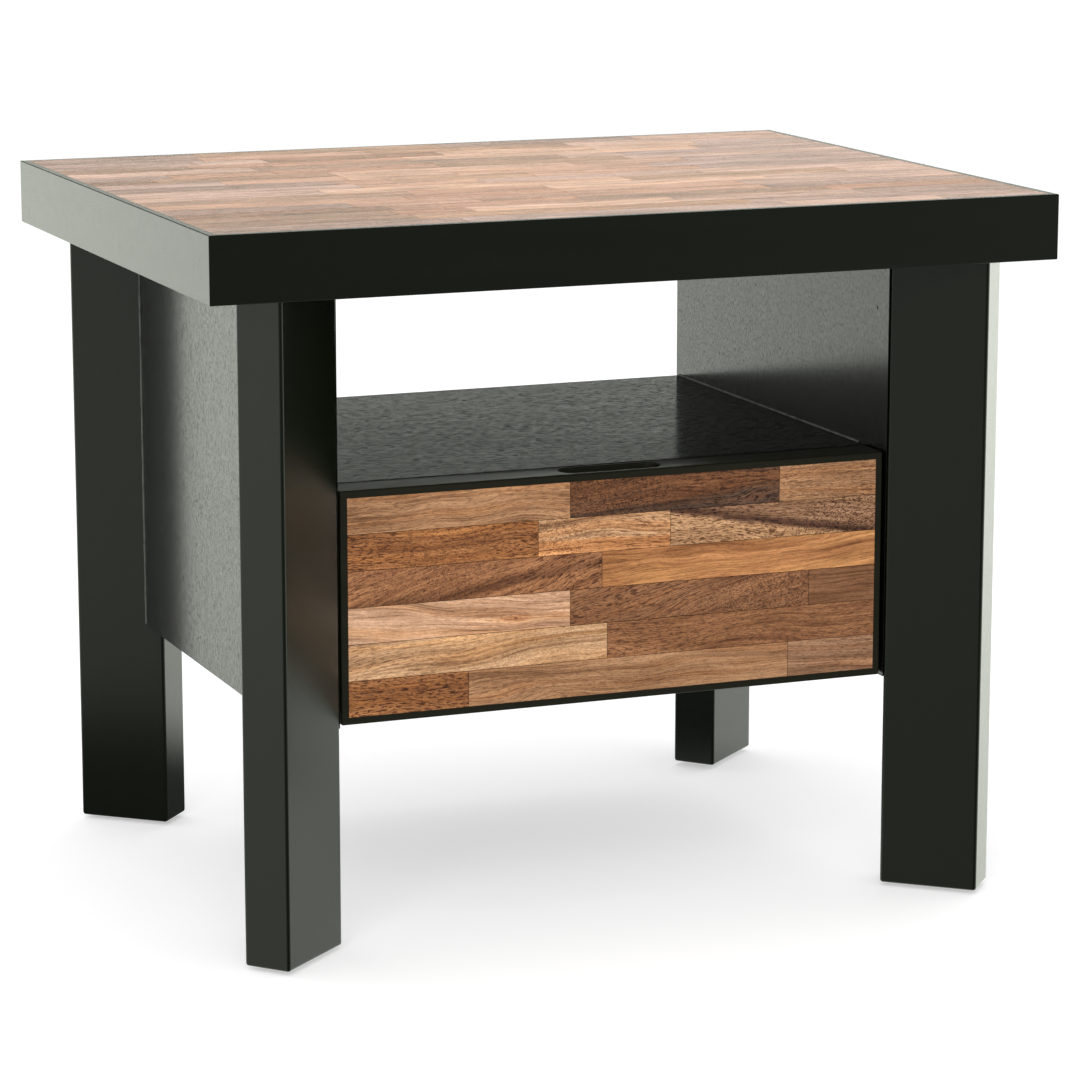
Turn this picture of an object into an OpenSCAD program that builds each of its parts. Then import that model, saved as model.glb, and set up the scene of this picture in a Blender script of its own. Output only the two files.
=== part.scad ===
// Side table with one drawer: a thick slab faced with wooden staves, on four plank legs that stand
// diagonally at the corners. Two thick side panels join the legs and carry a shelf, with an open
// bay over it and the drawer under it.
// The front is -Y, the right-hand side is +X and +Z is up. The origin is on the floor, under the
// middle of the slab. Millimetres.

/* [Top] */
// Width of the slab, left to right
top_w = 686; // [640:1:900]
// Depth of the slab, front to back
top_d = 530; // [500:1:700]
// Thickness of the slab
top_t = 51; // [40:1:70]
// Height of the slab's face over the floor
table_h = 560; // [500:1:700]
// Thickness of the lipping round the slab's edge
lipping_t = 6; // [3:0.5:12]
// Thickness of the staves on the slab
top_stave_t = 6; // [3:0.5:12]
// Width of the glue line between two staves
glue_line = 0.2; // [0.1:0.05:0.5]

/* [Legs] */
// Long side of a leg, which points at the slab's corner
leg_w = 79; // [70:1:95]
// Short side of a leg
leg_t = 39; // [30:1:45]
// Angle between a leg's long side and the slab's front edge, seen from above
leg_angle = 41; // [38:1:46]
// From a leg's outer corner to the slab's left or right edge
end_overhang = 30; // [15:1:60]
// From a leg's outer corner to the slab's front or back edge
front_overhang = 7; // [5:1:30]
// Radius of a glide
glide_r = 9; // [7:0.5:14]
// Radius of a glide's flat underside
glide_flat_r = 4; // [3:0.5:6]
// Height of a glide, which lifts the leg off the floor
glide_h = 3.5; // [3:0.5:8]
// Radius of the glide's nail
glide_nail_r = 1.2; // [1:0.1:2]
// Length of the glide's nail
glide_nail_l = 18; // [12:1:30]

/* [Case] */
// Thickness of a side panel
side_t = 37; // [30:1:45]
// Clear height of the open bay, from the shelf to the slab
bay_h = 154; // [110:0.5:180]
// Thickness of the shelf
shelf_t = 19; // [16:1:25]
// Thickness of the board under the drawer
floor_t = 16; // [14:1:20]
// Thickness of the back panel
back_t = 9; // [6:1:12]
// Depth of the grooves that hold the back panel
back_groove = 4; // [3:0.5:6]
// How far the back panel stands in from the shelf's back edge
back_recess = 5; // [3:1:15]
// How far the shelf's back edge stands in from the legs' inner corners
shelf_setback = 5; // [0:0.5:6]
// How far a side panel's ends stand in from the legs' inner corners
side_setback = 0.5; // [0.3:0.1:3]
// How far the side panels reach below the drawer front
side_drop = 1.5; // [0:0.5:10]
// How far the board under the drawer stands above the drawer front's lower edge
floor_rise = 1; // [0:0.5:6]

/* [Drawer front] */
// Height of the drawer front
front_h = 180; // [160:1:200]
// Thickness of the drawer front
front_t = 32; // [28:1:40]
// How far the drawer front stands in from the legs' inner corners
front_setback = 2.5; // [0:0.5:6]
// Gap between the drawer front and each side
front_gap = 2.3; // [1:0.1:4]
// Gap between the drawer front and the boards behind it
rear_gap = 2; // [1:0.1:4]
// Width of the black border round the front's staves
border_w = 5.5; // [4:0.5:10]
// Thickness of the staves on the drawer front
front_stave_t = 3; // [2:0.5:4]
// Length of the finger slot in the front's top edge
slot_l = 83; // [70:1:120]
// Width of the finger slot
slot_w = 21; // [18:1:22]
// Depth of the finger slot
slot_depth = 30; // [15:1:50]
// From the front's back face to the finger slot
slot_inset = 4.5; // [4:0.5:6]

/* [Drawer box] */
// Height of the drawer's sides and back
box_h = 120; // [80:1:124]
// From the front's lower edge up to the sides' lower edge
box_rise = 21.5; // [20:0.5:30]
// Gap between the drawer's box and the case's back panel
box_rear_gap = 18; // [4:1:80]
// Thickness of the drawer's sides
box_side_t = 14; // [12:1:18]
// Thickness of the drawer's back
box_back_t = 12; // [12:1:18]
// Thickness of the drawer's bottom
box_bottom_t = 6; // [4:1:9]
// From the sides' lower edge up to the drawer's bottom
bottom_rise = 12; // [8:1:20]
// Depth of the housings and grooves that hold the drawer's boards
housing = 6; // [4:0.5:7]
// Gap between a drawer side and the case's side panel
box_clear = 5.5; // [4:0.5:8]
// How far the drawer pulls out
travel = 250; // [150:1:260]

/* [Runners] */
// How far a runner stands out from its side panel
runner_w = 12; // [11:0.5:13]
// Height of a runner
runner_h = 18; // [14:1:24]
// Gap between a runner and the case's back panel
runner_rear_gap = 6; // [1:1:40]
// From the drawer sides' lower edge up to the middle of the runner
runner_rise = 60; // [40:1:75]
// Gap above and below a runner in its groove
runner_play = 0.3; // [0.2:0.1:1]
// Gap between a runner's face and the bottom of its groove
runner_side_play = 0.5; // [0.3:0.1:1]
// Gap between a shut drawer's groove end and its runner
runner_end_play = 0.5; // [0.3:0.1:2]
// From the drawer front's back face to the closed end of the groove
groove_start = 10; // [5:1:20]
// Height of the stop rail under the shelf
rail_h = 9; // [6:0.5:11]
// Thickness of the stop rail
rail_t = 12; // [8:1:20]
// Length of the stop rail
rail_l = 300; // [260:1:400]
// Gap left between the stop pins and the rail when the drawer is out
stop_play = 0.5; // [0.3:0.1:2]
// Radius of a stop pin
pin_r = 4; // [3:0.5:5]
// From the middle of the drawer to each stop pin
pin_x = 120; // [60:1:125]
// Depth of a stop pin in the drawer's back
pin_depth = 17; // [12:1:30]
// Gap between the stop pins and the shelf
pin_clear = 2.5; // [1.5:0.1:4]

/* [Fixings] */
// Radius of a case dowel
dowel_r = 4; // [3:0.5:5]
// Depth of a case dowel in the side panel
dowel_in_side = 18; // [12:1:24]
// Depth of a case dowel in the board or slab that it holds
dowel_in_board = 22; // [15:1:30]
// From the middle of the case to its outer dowels
dowel_y = 120; // [90:1:140]
// Depth of a leg's dowel in the side panel
leg_dowel_in_side = 13; // [10:1:14]
// Depth of a leg's dowel in the leg
leg_dowel_in_leg = 22; // [15:1:30]
// From the leg's inner corner to its side dowels
leg_dowel_inset = 26; // [25:0.5:28]
// From the side panel's lower edge up to the lowest leg dowel
leg_dowel_rise = 45; // [30:1:60]
// Height between two leg dowels
leg_dowel_pitch = 115; // [80:1:120]
// Radius of a leg's top dowel
top_dowel_r = 6; // [4:0.5:8]
// Depth of a leg's top dowel in the leg
top_dowel_in_leg = 35; // [20:1:60]
// Depth of a leg's top dowel in the slab
top_dowel_in_slab = 25; // [15:1:34]
// Distance between a leg's two top dowels
top_dowel_pitch = 40; // [30:1:50]
// Gap round every dowel, pin, nail and screw
fit_gap = 0.05; // [0.02:0.01:0.1]
// Radius of a screw's shank
screw_r = 2; // [1.5:0.1:2.5]
// Radius of a screw's head
screw_head_r = 4; // [3:0.1:5]
// Height of a screw's countersunk head
screw_head_h = 2.5; // [2:0.1:4]
// Length of a runner screw
runner_screw_l = 28; // [20:1:34]
// Distance between two runner screws
runner_screw_pitch = 125; // [90:1:150]
// Length of a screw in the drawer's bottom
bottom_screw_l = 22; // [15:1:30]
// From the middle of the drawer to each screw in its bottom
bottom_screw_x = 90; // [50:1:150]

/* [Hidden] */
// Where the end joints fall in each row of staves, as shares of the row's length from the left.
// The slab's rows run from the front edge to the back edge.
top_rows = [
    [0.29, 0.68, 0.87], [0.25, 0.65], [0.24, 0.33, 0.58, 0.81],
    [0.25, 0.48, 0.79], [0.22, 0.37, 0.73], [0.30, 0.49, 0.72],
    [0.32, 0.49, 0.77], [0.23, 0.61, 0.89], [0.29, 0.44, 0.72],
    [0.27, 0.34, 0.52, 0.74], [0.15, 0.30, 0.44, 0.69], [0.08, 0.30, 0.61, 0.76],
    [0.11, 0.24, 0.45, 0.70], [0.23, 0.63, 0.71], [0.16, 0.26, 0.44, 0.70, 0.83],
    [0.18, 0.27, 0.50, 0.70, 0.85], [0.20, 0.42, 0.69], [0.21, 0.53, 0.80],
];
// The drawer front's rows run from the lower edge to the upper edge.
front_rows = [
    [0.22, 0.83], [0.48], [0.41, 0.87], [0.47], [0.35, 0.60], [0.41, 0.81],
];

$fn = 48;
// How far a cut reaches past the face that it opens
past = 1;

LEFT = -1;
RIGHT = 1;
FRONT = -1;
BACK = 1;
SIDES = [LEFT, RIGHT];
CORNERS = [[LEFT, FRONT], [RIGHT, FRONT], [LEFT, BACK], [RIGHT, BACK]];

// Heights
slab_under = table_h - top_t;
core_top = table_h - top_stave_t;
shelf_top = slab_under - bay_h;
shelf_under = shelf_top - shelf_t;
front_low = shelf_top - front_h;
side_low = front_low - side_drop;
floor_low = front_low + floor_rise;
floor_top = floor_low + floor_t;
box_low = front_low + box_rise;
box_top = box_low + box_h;
bottom_low = box_low + bottom_rise;
bottom_top = bottom_low + box_bottom_t;
runner_mid = box_low + runner_rise;

// Half the case's clear width and half its depth, which both end at the legs' inner corners
case_x = top_w / 2 - end_overhang - leg_w * cos(leg_angle) - leg_t * sin(leg_angle);
case_y = top_d / 2 - front_overhang - leg_w * sin(leg_angle);

// Depths, front to back
front_face = -case_y + front_setback;
front_rear = front_face + front_t;
board_front = front_rear + rear_gap;
board_back = case_y - shelf_setback;
back_outer = board_back - back_recess;
back_inner = back_outer - back_t;
side_end = case_y - side_setback;
box_rear = back_inner - box_rear_gap;
back_mid = box_rear - box_back_t / 2;
groove_end = front_rear + groove_start;
runner_front = groove_end + runner_end_play;
runner_rear = back_inner - runner_rear_gap;
rail_rear = back_mid - pin_r - travel - stop_play;
slot_y = front_rear - slot_inset - slot_w / 2;

// Widths
front_x = case_x - front_gap;
stave_x = front_x - border_w;
box_x = case_x - box_clear;
box_inner_x = box_x - box_side_t;
groove_depth = runner_w - box_clear + runner_side_play;

BLACK = [0.10, 0.11, 0.10];
CORE = [0.16, 0.14, 0.12];
HARDWOOD = [0.76, 0.62, 0.44];
PLY = [0.80, 0.68, 0.50];
DOWEL = [0.78, 0.60, 0.40];
STEEL = [0.62, 0.62, 0.60];
WALNUT = [0.42, 0.27, 0.18];
OAK = [0.74, 0.55, 0.38];

// A box from one corner to the opposite corner.
module block(low, high) {
    translate(low) cube(high - low);
}

// Staves that cover a panel from the origin to [length, width]: each row is cut at its joints, and
// a glue line is left round every stave.
module staves(length, width, thickness, rows) {
    pitch = width / len(rows);
    for (row = [0 : len(rows) - 1]) {
        cuts = concat([0], rows[row], [1]);
        for (i = [0 : len(cuts) - 2])
            color(row * 3 + i == 4 * floor((row * 3 + i) / 4) ? WALNUT : OAK)
                translate([cuts[i] * length + glue_line / 2, (row + 0.5) * pitch, 0])
                    translate([0, (glue_line - pitch) / 2, 0])
                        cube([(cuts[i + 1] - cuts[i]) * length - glue_line, pitch - glue_line, thickness]);
    }
}

// Puts its children at a leg's inner corner, with X along the leg's long side towards the slab's
// corner and Y across the leg towards the middle of the case's side.
module at_leg(corner) {
    mirror([corner.x < 0 ? 1 : 0, 0, 0])
        mirror([0, corner.y < 0 ? 1 : 0, 0])
            translate([case_x, case_y, 0])
                rotate(leg_angle) mirror([0, 1, 0]) children();
}

// The space that a leg takes, from one height to another.
module leg_space(corner, low, high) {
    at_leg(corner) translate([0, 0, low]) cube([leg_w, leg_t, high - low]);
}

// ---- slab ----

module top_core() {
    color(CORE) difference() {
        block([-top_w / 2 + lipping_t, -top_d / 2 + lipping_t, slab_under],
              [top_w / 2 - lipping_t, top_d / 2 - lipping_t, core_top]);
        side_top_dowel_set(fit_gap);
        leg_top_dowel_set(fit_gap);
    }
}

module top_staves() {
    translate([-top_w / 2 + lipping_t, -top_d / 2 + lipping_t, core_top])
        staves(top_w - 2 * lipping_t, top_d - 2 * lipping_t, top_stave_t, top_rows);
}

// One mitred lipping along an edge of the given length, at the given distance from the middle.
module lipping(length, distance) {
    color(BLACK) translate([0, distance, slab_under]) linear_extrude(top_t)
        polygon([[-length / 2, 0], [length / 2, 0],
                 [length / 2 - lipping_t, -lipping_t], [-length / 2 + lipping_t, -lipping_t]]);
}

module top_lipping_front() { rotate(180) lipping(top_w, top_d / 2); }
module top_lipping_back() { lipping(top_w, top_d / 2); }
module top_lipping_left() { rotate(90) lipping(top_d, top_w / 2); }
module top_lipping_right() { rotate(-90) lipping(top_d, top_w / 2); }

// ---- legs ----

module leg(corner) {
    color(BLACK) difference() {
        leg_space(corner, glide_h, slab_under);
        leg_side_dowel_set(corner, fit_gap);
        leg_top_dowels_of(corner, fit_gap);
        glide_place(corner) cylinder(r = glide_nail_r + fit_gap, h = glide_h + glide_nail_l + past);
    }
}

module glide_place(corner) {
    at_leg(corner) translate([leg_w / 2, leg_t / 2, 0]) children();
}

// A domed steel glide with its nail.
module glide() {
    dome = [for (a = [0 : 15 : 75]) [glide_flat_r + (glide_r - glide_flat_r) * sin(a),
                                     glide_h * 0.8 * (1 - cos(a))]];
    rotate_extrude() polygon(concat(
        [[0, 0]], dome,
        [[glide_r, glide_h * 0.8], [glide_r, glide_h], [glide_nail_r, glide_h],
         [glide_nail_r, glide_h + glide_nail_l], [0, glide_h + glide_nail_l + glide_nail_r / 2]]));
}

module leg_glides() {
    color(STEEL) for (corner = CORNERS) glide_place(corner) glide();
}

// ---- case ----

module side_panel(side) {
    color(BLACK) difference() {
        block([side > 0 ? case_x : -case_x - side_t, -side_end, side_low],
              [side > 0 ? case_x + side_t : -case_x, side_end, slab_under]);
        for (end = [FRONT, BACK]) {
            leg_space([side, end], side_low - past, slab_under + past);
            leg_side_dowel_set([side, end], fit_gap);
        }
        board_dowels_of(side, fit_gap);
        side_top_dowels_of(side, fit_gap);
        runner_screws_of(side, fit_gap);
    }
}

// The groove that holds the back panel, as high as the panel with its tongues.
module back_space() {
    block([-case_x, back_inner, floor_top - back_groove],
          [case_x, back_outer, shelf_under + back_groove]);
}

module shelf() {
    color(BLACK) difference() {
        block([-case_x, board_front, shelf_under], [case_x, board_back, shelf_top]);
        board_dowel_set(fit_gap);
        back_space();
    }
}

module case_floor() {
    color(CORE) difference() {
        block([-case_x, board_front, floor_low], [case_x, board_back, floor_top]);
        board_dowel_set(fit_gap);
        back_space();
    }
}

module case_back() {
    color(BLACK) back_space();
}

module runner(side) {
    color(HARDWOOD) difference() {
        block([side > 0 ? case_x - runner_w : -case_x, runner_front, runner_mid - runner_h / 2],
              [side > 0 ? case_x : -case_x + runner_w, runner_rear, runner_mid + runner_h / 2]);
        runner_screws_of(side, fit_gap);
    }
}

module stop_rail() {
    color(HARDWOOD)
        block([-rail_l / 2, rail_rear - rail_t, shelf_under - rail_h], [rail_l / 2, rail_rear, shelf_under]);
}

// ---- fixings: each set takes the amount by which its holes are larger ----

// A countersunk wood screw that points along +Z, with its head's face at the origin.
module screw(length, gap) {
    cylinder(r = screw_r + gap, h = length + gap);
    cylinder(r1 = screw_head_r + gap, r2 = screw_r + gap, h = screw_head_h);
}

module runner_screws_of(side, gap) {
    for (i = [-1 : 1])
        translate([side * (case_x - runner_w), (runner_front + runner_rear) / 2 + i * runner_screw_pitch,
                   runner_mid])
            rotate([0, side * 90, 0]) screw(runner_screw_l, gap);
}

module runner_screws() {
    color(STEEL) for (side = SIDES) runner_screws_of(side, 0);
}

// Dowels from a side panel into the shelf and into the board under the drawer.
module board_dowels_of(side, gap) {
    for (z = [shelf_under + shelf_t / 2, floor_low + floor_t / 2], y = [-dowel_y, 0, dowel_y])
        translate([side * (case_x - dowel_in_board - gap), y, z]) rotate([0, side * 90, 0])
            cylinder(r = dowel_r + gap, h = dowel_in_board + dowel_in_side + 2 * gap);
}

module board_dowel_set(gap) {
    for (side = SIDES) board_dowels_of(side, gap);
}

module board_dowels() {
    color(DOWEL) board_dowel_set(0);
}

// Dowels from a side panel up into the slab.
module side_top_dowels_of(side, gap) {
    for (y = [-dowel_y, 0, dowel_y])
        translate([side * (case_x + side_t / 2), y, slab_under - dowel_in_side - gap])
            cylinder(r = dowel_r + gap, h = dowel_in_side + dowel_in_board + 2 * gap);
}

module side_top_dowel_set(gap) {
    for (side = SIDES) side_top_dowels_of(side, gap);
}

module side_top_dowels() {
    color(DOWEL) side_top_dowel_set(0);
}

// Dowels from a leg's inner end into the side panel.
module leg_side_dowel_set(corner, gap) {
    for (i = [0 : 2])
        at_leg(corner)
            translate([-leg_dowel_in_side - gap, leg_dowel_inset,
                       side_low + leg_dowel_rise + i * leg_dowel_pitch])
                rotate([0, 90, 0])
                    cylinder(r = dowel_r + gap, h = leg_dowel_in_side + leg_dowel_in_leg + 2 * gap);
}

module leg_side_dowels() {
    color(DOWEL) for (corner = CORNERS) leg_side_dowel_set(corner, 0);
}

// Dowels from a leg's top up into the slab.
module leg_top_dowels_of(corner, gap) {
    for (i = [-0.5, 0.5])
        at_leg(corner)
            translate([leg_w / 2 + i * top_dowel_pitch, leg_t / 2, slab_under - top_dowel_in_leg - gap])
                cylinder(r = top_dowel_r + gap, h = top_dowel_in_leg + top_dowel_in_slab + 2 * gap);
}

module leg_top_dowel_set(gap) {
    for (corner = CORNERS) leg_top_dowels_of(corner, gap);
}

module leg_top_dowels() {
    color(DOWEL) leg_top_dowel_set(0);
}

// ---- drawer ----

// The finger slot, round at both ends.
module finger_slot() {
    straight = slot_l / 2 - slot_w / 2;
    translate([0, slot_y, shelf_top - slot_depth]) {
        for (x = [-straight, straight]) translate([x, 0, 0]) cylinder(d = slot_w, h = slot_depth + past);
        block([-straight, -slot_w / 2, 0], [straight, slot_w / 2, slot_depth + past]);
    }
}

module drawer_front() {
    color(BLACK) difference() {
        block([-front_x, front_face, front_low], [front_x, front_rear, shelf_top]);
        block([-stave_x, front_face - past, front_low + border_w],
              [stave_x, front_face + front_stave_t, shelf_top - border_w]);
        finger_slot();
        for (side = SIDES) box_side_blank(side, past);
        bottom_space(past);
    }
}

module drawer_front_staves() {
    translate([-stave_x, front_face + front_stave_t, front_low + border_w]) rotate([90, 0, 0])
        staves(2 * stave_x, front_h - 2 * border_w, front_stave_t, front_rows);
}

// A drawer side before its grooves are cut; `over` lengthens it at the rear.
module box_side_blank(side, over) {
    block([side > 0 ? box_inner_x : -box_x, front_rear - housing, box_low],
          [side > 0 ? box_x : -box_inner_x, box_rear + over, box_top]);
}

// The drawer's bottom, held in the front and the sides and open at the rear.
module bottom_space(over) {
    block([-box_inner_x - housing, front_rear - housing, bottom_low],
          [box_inner_x + housing, box_rear + over, bottom_top]);
}

// The drawer's back, held in a housing in each side and standing on the bottom.
module back_board() {
    block([-box_inner_x - housing, box_rear - box_back_t, bottom_top],
          [box_inner_x + housing, box_rear, box_top]);
}

module drawer_side(side) {
    color(HARDWOOD) difference() {
        box_side_blank(side, 0);
        block([side > 0 ? box_x - groove_depth : -box_x - past, groove_end,
               runner_mid - runner_h / 2 - runner_play],
              [side > 0 ? box_x + past : -box_x + groove_depth, box_rear + past,
               runner_mid + runner_h / 2 + runner_play]);
        bottom_space(past);
        back_board();
    }
}

module bottom_screw_set(gap) {
    for (x = [-bottom_screw_x, bottom_screw_x])
        translate([x, back_mid, bottom_low]) screw(bottom_screw_l, gap);
}

module stop_pin_set(gap) {
    for (x = [-pin_x, pin_x])
        translate([x, back_mid, box_top - pin_depth - gap])
            cylinder(r = pin_r + gap, h = shelf_under - pin_clear - box_top + pin_depth + gap);
}

module drawer_back() {
    color(HARDWOOD) difference() {
        back_board();
        bottom_screw_set(fit_gap);
        stop_pin_set(fit_gap);
    }
}

module drawer_bottom() {
    color(PLY) difference() {
        bottom_space(0);
        bottom_screw_set(fit_gap);
    }
}

module drawer_bottom_screws() {
    color(STEEL) bottom_screw_set(0);
}

module drawer_stop_pins() {
    color(DOWEL) stop_pin_set(0);
}

top_core();
top_staves();
top_lipping_front();
top_lipping_back();
top_lipping_left();
top_lipping_right();
leg([LEFT, FRONT]);  // leg_front_left
leg([RIGHT, FRONT]);  // leg_front_right
leg([LEFT, BACK]);  // leg_back_left
leg([RIGHT, BACK]);  // leg_back_right
leg_glides();
side_panel(LEFT);  // side_panel_left
side_panel(RIGHT);  // side_panel_right
shelf();
case_floor();
case_back();
runner(LEFT);  // runner_left
runner(RIGHT);  // runner_right
runner_screws();
stop_rail();
board_dowels();
side_top_dowels();
leg_side_dowels();
leg_top_dowels();
drawer_front();
drawer_front_staves();
drawer_side(LEFT);  // drawer_side_left
drawer_side(RIGHT);  // drawer_side_right
drawer_back();
drawer_bottom();
drawer_bottom_screws();
drawer_stop_pins();
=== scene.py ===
import math
import random

import bmesh
import bpy
import numpy as np
from mathutils import Matrix, Vector


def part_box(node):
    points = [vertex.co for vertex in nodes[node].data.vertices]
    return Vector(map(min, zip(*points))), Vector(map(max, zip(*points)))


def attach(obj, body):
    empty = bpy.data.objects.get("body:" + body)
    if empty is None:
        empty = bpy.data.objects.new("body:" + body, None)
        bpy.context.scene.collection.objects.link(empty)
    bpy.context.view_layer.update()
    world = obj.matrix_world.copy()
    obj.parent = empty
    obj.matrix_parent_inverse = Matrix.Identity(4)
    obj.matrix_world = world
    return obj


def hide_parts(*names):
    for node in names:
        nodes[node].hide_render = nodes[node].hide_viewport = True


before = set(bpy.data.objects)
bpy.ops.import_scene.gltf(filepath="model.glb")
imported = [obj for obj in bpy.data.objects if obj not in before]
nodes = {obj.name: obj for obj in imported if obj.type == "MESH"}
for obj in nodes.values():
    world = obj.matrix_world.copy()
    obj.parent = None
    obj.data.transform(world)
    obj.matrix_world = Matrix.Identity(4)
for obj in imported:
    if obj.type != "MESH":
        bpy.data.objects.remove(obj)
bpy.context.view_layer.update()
scene = bpy.context.scene

# Sizes in metres, as the table was drawn
LEG_WIDTH, LEG_THICKNESS, LEG_ANGLE = 0.079, 0.039, math.radians(41)
LIPPING = 0.006
GLIDE_HEIGHT, NAIL_RADIUS = 0.0035, 0.0012
SLOT_LENGTH, SLOT_WIDTH, SLOT_DEPTH, SLOT_INSET = 0.083, 0.021, 0.030, 0.0045
NAIL_HOLE_RADIUS, NAIL_HOLE_Y, NAIL_HOLE_Z = 0.0011, -0.186, 0.467
# How its ball is flattened into the panel and drawn out upwards
NAIL_HOLE_SHAPE = (0.25, 1, 1.5)
# How far each arris is rounded off
LEG_EASE, PANEL_EASE, SHELF_EASE = 0.0026, 0.0015, 0.0016
LIPPING_EASE, FRONT_EASE, SLOT_EASE = 0.0008, 0.0025, 0.0016
STAVE_CHAMFER = 0.00016
# How far a glide's nail is sunk in its dome, and where its flat foot and its round shoulder end
NAIL_SUNK, DOME_TOP, DOME_REACH = 0.0005, 0.3, 0.8
# How far the filler is pressed in, and how much of each joint its beads leave free
FILLER_SUNK, FILLER_FOOT, FILLER_HEAD, FILLER_BACK, FILLER_FRONT = 0.0002, 0.002, 0.001, 0.002, 0.012
# Two lengths are the same when they differ by less than this
SAME = 1e-5
# How deep the relief of a finish is
GRAIN_RELIEF, LEG_RELIEF, OPEN_RELIEF, WEAR_RELIEF = 0.00005, 0.00004, 0.00008, 0.00003
SLAB_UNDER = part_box("top_core")[0].z
CASE_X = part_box("shelf")[1].x
CASE_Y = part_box("leg_back_right")[1].y - LEG_WIDTH * math.sin(LEG_ANGLE)
CORNERS = {"front_left": (-1, -1), "front_right": (1, -1), "back_left": (-1, 1), "back_right": (1, 1)}

MM = 1000.0  # in a metre
FLOAT, VECTOR, COLOUR = "NodeSocketFloat", "NodeSocketVector", "NodeSocketColor"
GEOMETRY, MATERIAL, WHOLE = "NodeSocketGeometry", "NodeSocketMaterial", "NodeSocketInt"


# ---------------------------------------------------------------- node nets


class Net:
    """A node tree, with short ways to add what the finishes and the repeated parts need."""

    def __init__(self, tree):
        self.tree = tree

    @classmethod
    def group(cls, name, inputs, outputs, kind="ShaderNodeTree"):
        net = cls(bpy.data.node_groups.new(name, kind))
        for title, socket_type, value in inputs:
            socket = net.tree.interface.new_socket(name=title, in_out="INPUT", socket_type=socket_type)
            if value is not None:
                socket.default_value = value
        for title, socket_type in outputs:
            net.tree.interface.new_socket(name=title, in_out="OUTPUT", socket_type=socket_type)
        net.inputs = net.tree.nodes.new("NodeGroupInput").outputs
        net.outputs = net.tree.nodes.new("NodeGroupOutput").inputs
        return net

    def put(self, socket, source):
        if hasattr(source, "is_linked"):
            self.tree.links.new(source, socket)
        else:
            socket.default_value = source

    def add(self, kind, feeds=(), **settings):
        """feeds: a dict of inputs by name, or a row of inputs in order, where None is passed over."""
        node = self.tree.nodes.new(kind)
        for key, value in settings.items():
            setattr(node, key, value)
        pairs = feeds.items() if isinstance(feeds, dict) else enumerate(feeds)
        for key, value in pairs:
            if value is not None:
                self.put(node.inputs[key], value)
        return node

    def math(self, operation, a, b=0.0, clamp=False):
        return self.add("ShaderNodeMath", (a, b), operation=operation, use_clamp=clamp).outputs[0]

    def times(self, a, b, clamp=False):
        return self.math("MULTIPLY", a, b, clamp)

    def plus(self, a, b, clamp=False):
        return self.math("ADD", a, b, clamp)

    def minus(self, a, b):
        return self.math("SUBTRACT", a, b)

    def over(self, a, b):
        return self.math("DIVIDE", a, b)

    def vector(self, operation, a, b=(0, 0, 0)):
        return self.add("ShaderNodeVectorMath", (a, b), operation=operation).outputs[0]

    def split(self, vector):
        return self.add("ShaderNodeSeparateXYZ", (vector,)).outputs

    def join(self, x, y, z):
        return self.add("ShaderNodeCombineXYZ", (x, y, z)).outputs[0]

    def noise(self, vector, factors, detail=2.0, roughness=0.5, distortion=0.0):
        place = self.vector("MULTIPLY", vector, factors)
        feeds = {"Vector": place, "Scale": 1.0, "Detail": detail, "Roughness": roughness,
                 "Distortion": distortion}
        return self.add("ShaderNodeTexNoise", feeds).outputs[0]

    def between(self, value, low, high, to_low=0.0, to_high=1.0):
        feeds = {"Value": value, "From Min": low, "From Max": high, "To Min": to_low, "To Max": to_high}
        return self.add("ShaderNodeMapRange", feeds, interpolation_type="SMOOTHSTEP").outputs["Result"]

    def swing(self, value, amount):
        """A 0 to 1 pattern as a swing either way of zero."""
        return self.times(self.minus(value, 0.5), amount)

    def sum(self, *values):
        total = values[0]
        for value in values[1:]:
            total = self.plus(total, value)
        return total

    def mix(self, factor, a, b, way="MIX"):
        node = self.add("ShaderNodeMix", data_type="RGBA", blend_type=way)
        for i, value in ((0, factor), (6, a), (7, b)):
            self.put(node.inputs[i], value)
        return node.outputs[2]

    def tinted(self, colour, tint):
        return self.mix(1.0, colour, tint, "MULTIPLY")

    def millimetres(self):
        """The tree's input Place, in millimetres."""
        return self.vector("MULTIPLY", self.inputs["Place"], (MM, MM, MM))

    def ramp(self, value, stops, interpolation="LINEAR"):
        node = self.add("ShaderNodeValToRGB", (value,))
        node.color_ramp.interpolation = interpolation
        points = node.color_ramp.elements
        while len(points) < len(stops):
            points.new(0.5)
        for point, (place, level) in zip(points, stops):
            point.position = place
            point.color = (level, level, level, 1)
        return node.outputs["Color"]


def rgb(r, g, b):
    """A colour written as on a paint chart, from 0 to 255."""
    def plain(v):
        v /= 255
        return v / 12.92 if v <= 0.04045 else ((v + 0.055) / 1.055) ** 2.4
    return (plain(r), plain(g), plain(b), 1)


# ---------------------------------------------------------------- camera and light


CAMERA_PLACE = (-1.1776, -2.9968, 0.9229)
CAMERA_DIP, CAMERA_TURN = 11.592, -21.725  # degrees
FILM_WIDTH, LENS = 36, 134.08  # mm


def set_up_camera():
    """A long lens, a little above the table, off its front left corner."""
    lens = bpy.data.cameras.new("camera")
    lens.sensor_width = FILM_WIDTH
    lens.lens = LENS
    lens.clip_start, lens.clip_end = 0.1, 60
    camera = placed("camera", lens)
    camera.location = CAMERA_PLACE
    camera.rotation_euler = (math.radians(90 - CAMERA_DIP), 0, math.radians(CAMERA_TURN))
    scene.camera = camera


# How bright the studio looks in a gloss, by the direction in degrees from straight back,
# clockwise from above
STUDIO = [(-180, 0.12), (-150, 0.2), (-120, 0.5), (-104, 0.96), (-60, 1.3), (-22, 1.62), (20, 2.1),
          (60, 2.34), (76, 1.14), (104, 1.8), (122, 0.66), (158, 0.17), (180, 0.12)]
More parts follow.
